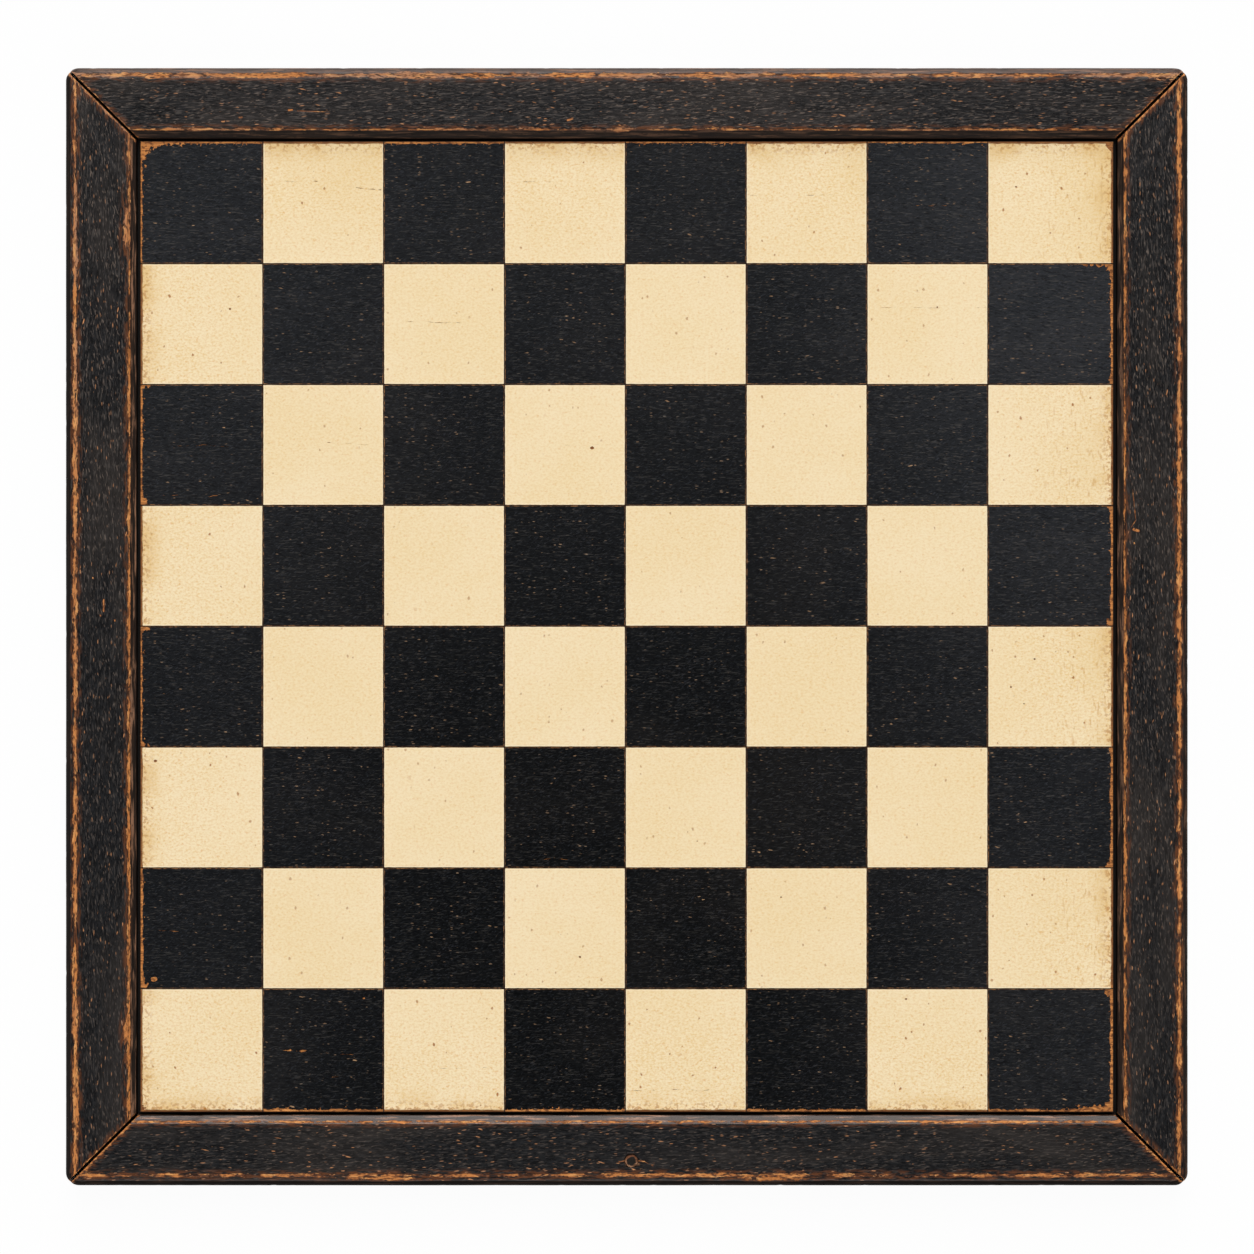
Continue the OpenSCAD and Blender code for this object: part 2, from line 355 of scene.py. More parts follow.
def dent(name, along, y, z):
    """How far wear and rough planing have taken each point of a rail below its true section"""
    rail = RAILS[name]
    far_along = along + rail["half"]
    rubbed = smooth_step(bare_depth(name, along, y, z), -0.4, 1.1) * 0.16
    planed = 0.06 * lattice_noise(far_along / 22, 0 * along, rail["seed"] + 60)
    on_side = smooth_step(y, RAIL_W - 2.6, RAIL_W - 0.6)
    nicked = rough_noise(far_along / 1.7, z / 1.5, rail["seed"] + 70, 2)
    nicks = 0.16 * smooth_step(nicked, 0.62, 0.85) * smooth_step(y, RAIL_W - 4.6, RAIL_W - 2.6)
    return rubbed + planed * on_side + nicks


# How much narrower a rail is right at its mitre, which eases the sharp edge there
MITRE_EASE = 0.1


def rail_mesh(name):
    """Points and faces of one rail, in its place on the board"""
    rail = RAILS[name]
    section = rail_section()
    shares = rail_stations(rail["half"])
    share, number = (grid.ravel() for grid in np.meshgrid(shares, np.arange(len(section)), indexing="ij"))
    y, z, out_y, out_z = section[number].T
    depth = dent(name, share * rail["half"], y, z)
    depth += np.where(np.abs(share) == 1, MITRE_EASE, 0)
    in_groove = (z <= GROOVE_TOP) & (y <= GROOVE_D + 0.01) & (z >= GROOVE_Z)
    depth = np.where(in_groove, 0, depth)
    y = y - out_y * depth
    z = z - out_z * depth
    x, across = follow_rail(rail["half"], share, y, z)
    board_x, board_y = rail_to_board(rail, x, across)
    round_it = len(section)
    faces = [tuple(range(round_it - 1, -1, -1))]
    for station in range(len(shares) - 1):
        start = station * round_it
        for step in range(round_it):
            after = (step + 1) % round_it
            faces.append((start + step, start + after, start + round_it + after, start + round_it + step))
    faces.append(tuple(range((len(shares) - 1) * round_it, len(shares) * round_it)))
    return np.column_stack([board_x, board_y, z]), faces


CUTTER_SIDES = 40


def closed_copy(nodes):
    """One mesh with the closed surfaces of the CAD nodes"""
    solid = bmesh.new()
    for node in nodes:
        solid.from_mesh(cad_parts[node].data)
    bmesh.ops.remove_doubles(solid, verts=solid.verts, dist=1e-6)
    return solid


def add_round_cutter(solid, start, direction, profile):
    """A turned cutter: profile is a list of (distance along the direction, radius), in mm"""
    turn = Vector((0, 0, 1)).rotation_difference(Vector(direction)).to_matrix().to_4x4()
    place = Matrix.Translation(Vector(start) * MM) @ turn
    rings = []
    for distance, radius in profile:
        points = [Vector((radius * u, radius * v, distance)) * MM for u, v in circle(CUTTER_SIDES)]
        rings.append([solid.verts.new(place @ point) for point in points])
    solid.faces.new(list(reversed(rings[0])))
    for low, high in zip(rings, rings[1:]):
        for side in range(CUTTER_SIDES):
            after = (side + 1) % CUTTER_SIDES
            solid.faces.new((low[side], low[after], high[after], high[side]))
    solid.faces.new(rings[-1])


def cut_away(piece, solid):
    """Cuts the closed surfaces of a bmesh out of a piece"""
    mesh = bpy.data.meshes.new("cutter")
    solid.to_mesh(mesh)
    solid.free()
    cutter = new_object("cutter", mesh)
    modifier = piece.modifiers.new("cut", "BOOLEAN")
    modifier.operation = "DIFFERENCE"
    modifier.solver = "EXACT"
    modifier.object = cutter
    graph = bpy.context.evaluated_depsgraph_get()
    result = bpy.data.meshes.new_from_object(piece.evaluated_get(graph))
    piece.modifiers.remove(modifier)
    old = piece.data
    piece.data = result
    bpy.data.meshes.remove(old)
    bpy.data.objects.remove(cutter)
    bpy.data.meshes.remove(mesh)


def nail_recesses(name):
    """The holes that the nails' heads went in by, as a bmesh of cutters"""
    solid = bmesh.new()
    side_rail = RAILS[name]["turn"] in (90, -90)
    for end in (-1, 1):
        if side_rail:
            way = 1 if name == "rail_right" else -1
            start = (way * (HALF_W - NAIL_SET), end * (HALF_H - NAIL_IN), NAIL_LOW)
            direction = (way, 0, 0)
        else:
            way = 1 if name == "rail_top" else -1
            start = (end * (HALF_W - NAIL_IN), way * (HALF_H - NAIL_SET), NAIL_HIGH)
            direction = (0, way, 0)
        add_round_cutter(solid, start, direction, [(-0.02, NAIL_HEAD_R + 0.05), (2, NAIL_HEAD_R + 0.15)])
    if name == "rail_bottom":
        rim = [(0, PLUG_R), (RAIL_H - PLUG_Z - 0.15, PLUG_R), (RAIL_H - PLUG_Z + 0.05, PLUG_R + 0.12),
               (RAIL_H - PLUG_Z + 1, PLUG_R + 0.12)]
        add_round_cutter(solid, (PLUG_X, PLUG_Y, PLUG_Z), (0, 0, 1), rim)
    return solid


def triples(items, value):
    """Three numbers for each point or face of a mesh, such as its place"""
    numbers = np.empty(len(items) * 3)
    items.foreach_get(value, numbers)
    return numbers.reshape(-1, 3)


def store(mesh, name, domain, numbers):
    """Stores a number on each point or face of a mesh"""
    mesh.attributes.new(name, "FLOAT", domain).data.foreach_set("value", numbers.astype(np.float32))


def mitre_faces(name, mesh):
    """1 for each face of a rail that lies inside a mitre, 0 for the others"""
    x, y, _ = triples(mesh.polygons, "center").T / MM
    along, across = board_to_rail(RAILS[name], x, y)
    to_mitre = (RAILS[name]["half"] - RAIL_W + across - np.abs(along)) / math.sqrt(2)
    slanting = np.min(np.abs(triples(mesh.polygons, "normal")[:, :2]), axis=1) > 0.55
    return slanting & (to_mitre < 0.5)


def make_rail(name):
    """One worn rail with its joints and nail holes, and the depth of its wear on every point"""
    points, faces = rail_mesh(name)
    piece = new_piece("worn_" + name, points, faces)
    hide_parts(name)
    splines = [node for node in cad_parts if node.startswith("spline")]
    cut_away(piece, closed_copy(splines + ["corner_nails"]))
    cut_away(piece, nail_recesses(name))
    mesh = piece.data
    x, y, z = triples(mesh.vertices, "co").T / MM
    along, across = board_to_rail(RAILS[name], x, y)
    store(mesh, "bare", "POINT", bare_depth(name, along, across, z))
    store(mesh, "joint", "FACE", mitre_faces(name, mesh))
    smooth_shading(mesh, 40)
    return piece


# The coats of paint on the squares. The paint's outline comes from a field that says how far inside
# the paint a point lies, sampled on a fine grid.
GRID_STEP = 0.2
GRID_MARGIN = 1.0
OUTLINE_LIMITS = (0.03, 0.015, 0.006, 0.0)
SMALLEST_MARK = 0.04
PAINT_SPREAD = 0.07

# Pits in the paint of both colours: place and radius
PITS = [
    (-14.4, 74.0, 0.75), (161.1, 182.0, 0.5), (-164.2, 131.5, 0.5), (128.4, 132.3, 0.35),
    (168.8, -13.4, 0.45), (158.9, -25.0, 0.55), (160.2, -28.7, 0.3), (164.3, -31.9, 0.35),
    (63.8, -111.9, 0.4), (29.1, -88.7, 0.35), (115.6, -154.1, 0.5), (-194.9, -55.6, 0.7),
    (-19.4, -136.7, 0.55), (-195.7, -145.8, 1.3), (-139.3, -175.2, 0.6), (-108.8, -153.7, 0.5),
]

# Hair cracks and short dashes along the grain, in both colours: x where they start and end, y at both
# ends, and half width
CRACKS = [
    (-150, -136, 184.2, 184.0, 0.10), (-131.5, -121.5, 184.3, 183.4, 0.20),
    (-121.5, -112, 183.4, 182.0, 0.10), (-112, -101.5, 182.0, 181.0, 0.16),
    (-49, -22, 184.2, 184.0, 0.10), (51, 98, 178.6, 178.9, 0.10),
    (-99, -55, 126.2, 126.0, 0.10), (103, 149, 132.3, 132.0, 0.08), (-149, -104, 76.0, 75.8, 0.08),
    (-49, -3, 75.4, 75.2, 0.08), (51, 98, 49.2, 49.4, 0.07), (-149, -110, -88.7, -88.5, 0.08),
    (-99, -3, -182.7, -182.5, 0.10), (0, 40, -191.8, -191.6, 0.10),
    (-187.4, -162.6, 75.0, 74.8, 0.10), (-191.9, -164.2, 54.1, 54.0, 0.14),
    (-192.8, -154.7, -27.9, -27.8, 0.11),
    (-198.2, -184.5, -125.9, -126.0, 0.14), (-192.8, -181.2, -131.3, -131.4, 0.16),
    (-143.1, -131.1, -175.2, -175.3, 0.20), (-135.3, -110.8, -175.6, -177.3, 0.11),
    (-122.4, -111.7, -186.4, -186.6, 0.10), (112.2, 134.2, 174.1, 174.1, 0.13),
    (-36.8, -21.9, -96.1, -96.1, 0.14),
]

# Paint worn off the panel's rim: column, row, side, least and extra width of bare wood beyond the
# usual rim
RIM_WEAR = {
    (0, 7, "far"): (0.0, 0.35), (0, 7, "left"): (-0.1, 0.4), (2, 7, "far"): (0.0, 0.4),
    (7, 6, "right"): (0.1, 0.6), (7, 4, "right"): (0.1, 0.6), (7, 2, "right"): (0.15, 0.6),
    (7, 0, "right"): (0.15, 0.6), (7, 0, "near"): (0.0, 0.7), (0, 5, "left"): (0.0, 0.4),
    (4, 7, "far"): (-0.2, 0.35), (6, 7, "far"): (-0.2, 0.35),
    (0, 1, "left"): (0.1, 0.5), (0, 3, "left"): (-0.1, 0.45), (1, 0, "near"): (0.1, 0.6),
    (3, 0, "near"): (0.1, 0.5), (5, 0, "near"): (0.1, 0.5),
}
USUAL_RIM_WEAR = (-0.1, 0.4)

# Worn corners of the dark squares and of the light ones: place, half length along X and along Y
DARK_CORNERS = [
    (-201, 200.5, 17, 1.6), (-201, 200.5, 1.8, 13), (-200.5, 200, 4.4, 4.4), (200.9, 149.6, 3.4, 2.6),
    (201, 149.8, 9, 0.9), (200.8, -199.8, 3.6, 3.6), (201, -200.2, 17, 1.9), (200.8, -150.2, 3, 2.2),
    (-201, 50.5, 2.6, 3.5), (-201, -149.5, 2.6, 3.5), (-200.8, -199.5, 1.5, 1.5),
    (201, 49.6, 2.2, 2.0), (201, 0.6, 2.4, 3.2), (201, -50.0, 2.0, 2.0), (201, -99.5, 2.6, 3.4),
    (-200.8, 0, 3.0, 1.6), (-200.8, -49.5, 2.6, 1.8), (-200.8, 99.8, 3.0, 1.4),
]
LIGHT_CORNERS = [(200.5, 199.5, 2.0, 2.4), (-200.8, -199.5, 1.2, 1.2)]


def is_dark(column, row):
    """Whether a square is dark. The near right corner square is."""
    return (SQUARES - 1 - column + row) % 2 == 0


def square_edges(column, row):
    """Edges of the paint on a square as left, right, near and far: beside scribed lines or the rim"""
    left = FIELD_X + (column - SQUARES / 2) * SQUARE + SCRIBE_W / 2
    near = FIELD_Y + (row - SQUARES / 2) * SQUARE + SCRIBE_W / 2
    right = left + SQUARE - SCRIBE_W
    far = near + SQUARE - SCRIBE_W
    if column == 0:
        left = float(paint_low[0])
    if column == SQUARES - 1:
        right = float(paint_high[0])
    if row == 0:
        near = float(paint_low[1])
    if row == SQUARES - 1:
        far = float(paint_high[1])
    return left, right, near, far


def side_wear(column, row, side, place, seed):
    """Width of paint lost along one side of a square, at places along that side"""
    last = SQUARES - 1
    at_rim = {"left": column == 0, "right": column == last, "near": row == 0, "far": row == last}
    if not at_rim[side]:
        return 0.16 * (rough_noise(place / 1.6, 0 * place, seed, 2) - 0.5)
    least, extra = RIM_WEAR.get((column, row, side), USUAL_RIM_WEAR)
    ragged = rough_noise(place / 2.6, 0 * place, seed, 4)
    return least + extra * smooth_step(ragged, 0.3, 0.75)


def near_square(marks, column, row, y_place):
    """The marks whose first corner lies on a square or within a few millimetres of it"""
    left, right, near, far = square_edges(column, row)
    return [mark for mark in marks
            if left - 3 < mark[0] < right + 3 and near - 3 < mark[y_place] < far + 3]


def paint_cover(column, row, x, y):
    """How far inside a square's paint each point lies, in mm: below 0 the wood is bare"""
    left, right, near, far = square_edges(column, row)
    seed = 1000 + 10 * (column + SQUARES * row)
    cover = np.minimum(
        np.minimum(x - left - side_wear(column, row, "left", y, seed),
                   right - x - side_wear(column, row, "right", y, seed + 1)),
        np.minimum(y - near - side_wear(column, row, "near", x, seed + 2),
                   far - y - side_wear(column, row, "far", x, seed + 3)))
    ragged = rough_noise(x / 1.1, y / 1.1, seed + 4, 3) - 0.5
    corners = DARK_CORNERS if is_dark(column, row) else LIGHT_CORNERS
    for corner_x, corner_y, long_way, cross_way in near_square(corners, column, row, 1):
        off = np.hypot((x - corner_x) / long_way, (y - corner_y) / cross_way)
        cover = np.minimum(cover, (off - 1) * min(long_way, cross_way) + 3.6 * ragged)
    for pit_x, pit_y, radius in near_square(PITS, column, row, 1):
        off = np.hypot(x - pit_x, (y - pit_y) * 1.2)
        cover = np.minimum(cover, off - radius + 0.9 * radius * ragged)
    for x0, x1, y0, y1, half_width in near_square(CRACKS, column, row, 2):
        wander = 0.9 * (lattice_noise(x / 6, 0 * x + y0, 77) - 0.5)
        wander += 0.35 * (lattice_noise(x / 1.5, 0 * x + y0, 78) - 0.5)
        line = y0 + (y1 - y0) * (x - x0) / (x1 - x0) + wander
        open_here = half_width * (4.0 * rough_noise(x / 2.8, 0 * x + y0, 79, 3) - 1.5)
        inside = (x > x0) & (x < x1)
        cover = np.where(inside, np.minimum(cover, np.abs(y - line) - open_here), cover)
    rim = np.minimum(np.minimum(x + PANEL_X, PANEL_X - x), np.minimum(y + PANEL_Y, PANEL_Y - y))
    chipped = rough_noise(x / 0.75, y / 0.75, seed + 5, 2)
    worn_rim = 0.83 if is_dark(column, row) else 0.97
    threshold = worn_rim + 0.25 * smooth_step(rim, 1.5, 6.0) - 0.14 * smooth_step(-rim, -3.0, -1.2)
    return np.minimum(cover, (threshold - chipped) * 2.5)


# For each kind of grid cell, the sides by which outlines enter and leave it with the paint on their
# left. The kind adds up 1, 2, 4 and 8 for paint at its corners, from the near left one anticlockwise.
CELL_TURNS = {
    1: ["SW"], 2: ["ES"], 3: ["EW"], 4: ["NE"], 5: ["SW", "NE"], 6: ["NS"], 7: ["NW"], 8: ["WN"],
    9: ["SN"], 10: ["ES", "WN"], 11: ["EN"], 12: ["WE"], 13: ["SE"], 14: ["WS"],
}


def crossing(field, side):
    """Where an outline crosses one side of the grid, given as the direction, column and row"""
    way, i, j = side
    here = field[j, i]
    there = field[j, i + 1] if way == "x" else field[j + 1, i]
    share = min(max(here / (here - there), 0.03), 0.97)
    return (i + share, j) if way == "x" else (i, j + share)


def outlines(field):
    """The closed lines round the points of a grid that are above 0, in grid steps, paint on the left"""
    inside = field > 0
    kind = inside[:-1, :-1] * 1 + inside[:-1, 1:] * 2 + inside[1:, 1:] * 4 + inside[1:, :-1] * 8
    onward = {}
    for j, i in zip(*np.nonzero((kind > 0) & (kind < 15))):
        i, j = int(i), int(j)
        sides = {"S": ("x", i, j), "N": ("x", i, j + 1), "W": ("y", i, j), "E": ("y", i + 1, j)}
        for enter, leave in CELL_TURNS[int(kind[j, i])]:
            onward[sides[enter]] = sides[leave]
    loops = []
    while onward:
        first = next(iter(onward))
        loop = [first]
        side = onward.pop(first)
        while side != first:
            loop.append(side)
            side = onward.pop(side)
        loops.append(np.array([crossing(field, side) for side in loop]))
    return loops


def thinned(points, limit):
    """A line without the points that lie within the limit of a simpler line"""
    if len(points) < 3:
        return points
    chord = points[-1] - points[0]
    length = max(np.hypot(*chord), 1e-9)
    from_first = points - points[0]
    off = np.abs(chord[0] * from_first[:, 1] - chord[1] * from_first[:, 0]) / length
    worst = int(np.argmax(off))
    if off[worst] < limit:
        return points[[0, -1]]
    return np.vstack([thinned(points[:worst + 1], limit)[:-1], thinned(points[worst:], limit)])


def thinned_loop(loop, limit):
    """A closed line without its needless points"""
    far = int(np.argmax(np.hypot(*(loop - loop[0]).T)))
    there = thinned(loop[:far + 1], limit)
    back = thinned(np.vstack([loop[far:], loop[:1]]), limit)
    return np.vstack([there[:-1], back[:-1]])


def loop_area(loop):
    x, y = loop.T
    return float(np.sum(x * np.roll(y, -1) - y * np.roll(x, -1))) / 2


def filled(loops):
    """Points, rings and triangles of the area between closed lines, or no triangles if the lines cross"""
    flat = np.vstack(loops)
    starts = np.cumsum([0] + [len(loop) for loop in loops])
    rings = [list(range(first, last)) for first, last in zip(starts, starts[1:])]
    corners = [Vector(point) for point in flat]
    points, _, faces, *_ = geometry.delaunay_2d_cdt(corners, [], rings, 2, 1e-6)
    return flat, rings, faces if len(points) == len(flat) else []


def square_film(column, row):
    """The coat of paint on one square as points and faces, closed all round and spread at its foot"""
    left, right, near, far = square_edges(column, row)
    xs = np.arange(left - GRID_MARGIN, right + GRID_MARGIN, GRID_STEP)
    ys = np.arange(near - GRID_MARGIN, far + GRID_MARGIN, GRID_STEP)
    field = paint_cover(column, row, xs[None, :], ys[:, None])
    field[[0, -1]] = -1
    field[:, [0, -1]] = -1
    traced = [loop * GRID_STEP + [xs[0], ys[0]] for loop in outlines(field)]
    traced = [loop for loop in traced if abs(loop_area(loop)) > SMALLEST_MARK]
    for limit in OUTLINE_LIMITS:
        loops = [thinned_loop(loop, limit) for loop in traced]
        flat, rings, faces = filled(loops)
        if faces:
            break
    after = np.vstack([np.roll(loop, -1, 0) for loop in loops])
    before = np.vstack([np.roll(loop, 1, 0) for loop in loops])
    tangent = after - before
    tangent /= np.maximum(np.linalg.norm(tangent, axis=1), 1e-9)[:, None]
    foot = flat + PAINT_SPREAD * np.column_stack([tangent[:, 1], -tangent[:, 0]])
    count = len(flat)
    top = np.column_stack([flat, np.full(count, PAINT_Z)])
    bottom = np.column_stack([foot, np.full(count, FACE_Z)])
    solid = [tuple(face) for face in faces]
    solid += [tuple(count + corner for corner in reversed(face)) for face in faces]
    for ring in rings:
        for here, there in zip(ring, ring[1:] + ring[:1]):
            solid.append((here, count + here, count + there, there))
    return np.vstack([top, bottom]), solid


def make_paint(dark, name, node):
    """The coat of paint on every dark or every light square, as one piece"""
    points, faces, count = [], [], 0
    for column in range(SQUARES):
        for row in range(SQUARES):
            if is_dark(column, row) == dark:
                more_points, more_faces = square_film(column, row)
                points.append(more_points)
                faces += [tuple(count + corner for corner in face) for face in more_faces]
                count += len(more_points)
    piece = new_piece(name, np.vstack(points), faces)
    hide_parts(node)
    smooth_shading(piece.data, 30)
    return piece


def make_plug():
    """The plug in the near rail: a turned peg with a worn rim, a little below the rail"""
    sides = 48
    profile = [
        (PLUG_Z, PLUG_R - 0.5), (PLUG_Z + 0.5, PLUG_R - 0.02), (RAIL_H - 0.75, PLUG_R - 0.02),
        (RAIL_H - 0.52, PLUG_R - 0.12), (RAIL_H - 0.40, PLUG_R - 0.35), (RAIL_H - 0.33, PLUG_R - 0.6),
        (RAIL_H - 0.22, PLUG_R - 0.8), (RAIL_H - 0.15, PLUG_R - 1.1), (RAIL_H - 0.12, PLUG_R - 1.6),
        (RAIL_H - 0.12, PLUG_R - 2.2),
    ]
    points = [(PLUG_X, PLUG_Y, PLUG_Z)]
    for z, radius in profile:
        for side, (u, v) in enumerate(circle(sides)):
            wobble = 1 - 0.05 * float(lattice_noise(np.array([side / 6.0]), np.array([z]), 55)[0])
            points.append((PLUG_X + radius * wobble * u, PLUG_Y + radius * wobble * v, z))
    points.append((PLUG_X, PLUG_Y, profile[-1][0]))
    faces = []
    for side in range(sides):
        after = (side + 1) % sides
        faces.append((0, 1 + after, 1 + side))
        for ring in range(len(profile) - 1):
            low, high = 1 + ring * sides, 1 + (ring + 1) * sides
            faces.append((low + side, low + after, high + after, high + side))
        last = 1 + (len(profile) - 1) * sides
        faces.append((last + side, last + after, len(points) - 1))
    piece = new_piece("worn_hole_plug", points, faces)
    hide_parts("hole_plug")
    smooth_shading(piece.data, 35)
    return piece


class Graph:
    """The node tree of a material, with one short call for each kind of step"""

    def __init__(self, name):
        self.material = bpy.data.materials.new(name)
        self.material.use_nodes = True
        self.tree = self.material.node_tree
        self.shader = self.tree.nodes["Principled BSDF"]
        self.place = self.add("TexCoord").outputs["Object"]

    def feed(self, socket, value):
        if isinstance(value, bpy.types.NodeSocket):
            self.tree.links.new(value, socket)
        else:
            socket.default_value = value

    def add(self, kind, inputs=None, **settings):
        node = self.tree.nodes.new("ShaderNode" + kind)
        for setting, value in settings.items():
            setattr(node, setting, value)
        for socket, value in (inputs or {}).items():
            self.feed(node.inputs[socket], value)
        return node

    def math(self, operation, a, b=0.0, c=0.0):
        return self.add("Math", {0: a, 1: b, 2: c}, operation=operation).outputs[0]

    def times(self, a, b):
        return self.math("MULTIPLY", a, b)

    def times_plus(self, a, b, c):
        return self.math("MULTIPLY_ADD", a, b, c)

    def plus(self, a, b):
        return self.math("ADD", a, b)

    def minus(self, a, b):
        return self.math("SUBTRACT", a, b)

    def larger(self, a, b=0.0):
        return self.math("MAXIMUM", a, b)

    def smaller(self, a, b):
        return self.math("MINIMUM", a, b)

    def size_of(self, a):
        return self.math("ABSOLUTE", a)

    def rise(self, value, low, high, start=0.0, end=1.0):
        """A smooth step from start to end as the value goes from low to high"""
        inputs = {"Value": value, "From Min": low, "From Max": high, "To Min": start, "To Max": end}
        return self.add("MapRange", inputs, interpolation_type="SMOOTHSTEP").outputs[0]

    def scaled(self, x, y, z=None, shift=0.0, turn=0.0):
        """Object coordinates in metres, turned about Z and then scaled along each axis"""
        turned = self.add("VectorRotate", {"Vector": self.place, "Angle": -turn},
                          rotation_type="Z_AXIS").outputs[0]
        inputs = {"Vector": turned, "Scale": (x, y, x if z is None else z),
                  "Location": (shift, shift * 0.7, shift * 1.3)}
        return self.add("Mapping", inputs).outputs[0]

    def noise(self, place, detail=2.0, roughness=0.5, distortion=0.0):
        inputs = {"Vector": place, "Scale": 1.0, "Detail": detail, "Roughness": roughness,
                  "Distortion": distortion}
        return self.add("TexNoise", inputs).outputs[0]

    def mix(self, share, a, b):
        node = self.add("Mix", {0: share, 6: a, 7: b}, data_type="RGBA")
        return node.outputs[2]

    def between(self, share, a, b):
        """The number that is the given share of the way from a to b"""
        return self.add("Mix", {0: share, 2: a, 3: b}, data_type="FLOAT").outputs[0]

    def parts(self, vector):
        return self.add("SeparateXYZ", {0: vector}).outputs

    def marks(self, place, low, high, strength=1.0, detail=1.5):
        """Streaks and dashes: a mask where noise rises from low to high"""
        return self.rise(self.noise(place, detail, 0.55, 0.25), low, high, 0.0, strength)

    def flecks(self, place, largest, share, seed):
        """Small marks, one at most to each unit of place: a mask, and a number that differs for each"""
        shifted = self.add("Mapping", {"Vector": place, "Location": (seed, seed * 1.7, seed * 0.3)})
        warp = self.add("TexNoise", {"Vector": shifted.outputs[0], "Scale": 1.1, "Detail": 3.0,
                                     "Roughness": 0.7})
        moved = self.add("VectorMath", {0: warp.outputs["Color"], 1: (0.6, 0.6, 0.6)},
                         operation="MULTIPLY")
        spot = self.add("VectorMath", {0: shifted.outputs[0], 1: moved.outputs[0]}, operation="ADD")
        cell = self.add("TexVoronoi", {"Vector": spot.outputs[0], "Scale": 1.0})
        lots = self.add("SeparateColor", {0: cell.outputs["Color"]}).outputs
        present = self.math("LESS_THAN", lots[0], share)
        radius = self.times_plus(lots[1], largest * 0.7, largest * 0.3)
        gap = self.minus(radius, cell.outputs["Distance"])
        mask = self.times(self.rise(gap, 0.0, largest * 0.5), present)
        return mask, lots[2]

    def off_line(self, x0, y0, x1, y1):
        """Distance in metres, in plan, from a straight line between two places in mm"""
        start = Vector((x0, y0, 0)) * MM
        way = Vector((x1, y1, 0)) * MM - start
        flat = self.add("VectorMath", {0: self.place, 1: (1, 1, 0)}, operation="MULTIPLY").outputs[0]
        from_start = self.add("VectorMath", {0: flat, 1: start}, operation="SUBTRACT").outputs[0]
        share = self.add("VectorMath", {0: from_start, 1: way / way.length_squared},
                         operation="DOT_PRODUCT").outputs["Value"]
        share = self.add("Clamp", {"Value": share}).outputs[0]
        nearest = self.add("VectorMath", {0: way, "Scale": share}, operation="SCALE").outputs[0]
        return self.add("VectorMath", {0: from_start, 1: nearest}, operation="DISTANCE").outputs["Value"]

    def lay(self, colour, mask, mark, strength=1.0):
        """The colour with another laid over it by a mask"""
        return self.mix(self.times(mask, strength), colour, mark)

    def layers(self, colour, *rows):
        """The colour with streaks laid over it: rows of place, low, high, streaks' colour and strength"""
        for place, low, high, mark, strength in rows:
            colour = self.lay(colour, self.marks(place, low, high), rgb(*mark), strength)
        return colour

    def finish(self, colour, roughness, height, distance, specular=None):
        """Sends colour, roughness and a bump of the given height in mm to the shader"""
        self.feed(self.shader.inputs["Base Color"], colour)
        self.feed(self.shader.inputs["Roughness"], roughness)
        if specular is not None:
            self.shader.inputs["Specular IOR Level"].default_value = specular
        bump = self.add("Bump", {"Height": height, "Distance": distance * MM, "Strength": 1.0})
        self.feed(self.shader.inputs["Normal"], bump.outputs[0])
        return self.material


def rgb(red, green, blue):
    """A shader colour from the usual 0 to 255 values of a screen"""
    def linear(value):
        value /= 255
        return value / 12.92 if value <= 0.04045 else ((value + 0.055) / 1.055) ** 2.4
    return linear(red), linear(green), linear(blue), 1.0


# Layers of small marks in the black paint: how many to a metre across the grain, the largest's half
# width in cells, the share of cells that hold one, a shift, and a tilt from the grain in degrees
FLECKS = ((1250, 0.34, 0.34, 1.0, 0), (900, 0.28, 0.28, 2.0, 7), (620, 0.22, 0.18, 3.0, -12),
          (340, 0.14, 0.10, 4.0, 3))


def grain_wood(g, along, across, seed, pale, middle, deep):
    """Colour of straight-grained wood from three colours, with its fibres along one axis"""
    fibres = g.noise(g.scaled(along, across, shift=seed), 4, 0.6, 0.3)
    pores = g.noise(g.scaled(along * 3, across * 4, shift=seed + 5), 2, 0.5)
    colour = g.mix(g.rise(fibres, 0.35, 0.62), deep, middle)
    colour = g.mix(g.rise(fibres, 0.55, 0.75), colour, pale)
    return g.mix(g.rise(pores, 0.60, 0.78, 0.0, 0.55), colour, deep), fibres


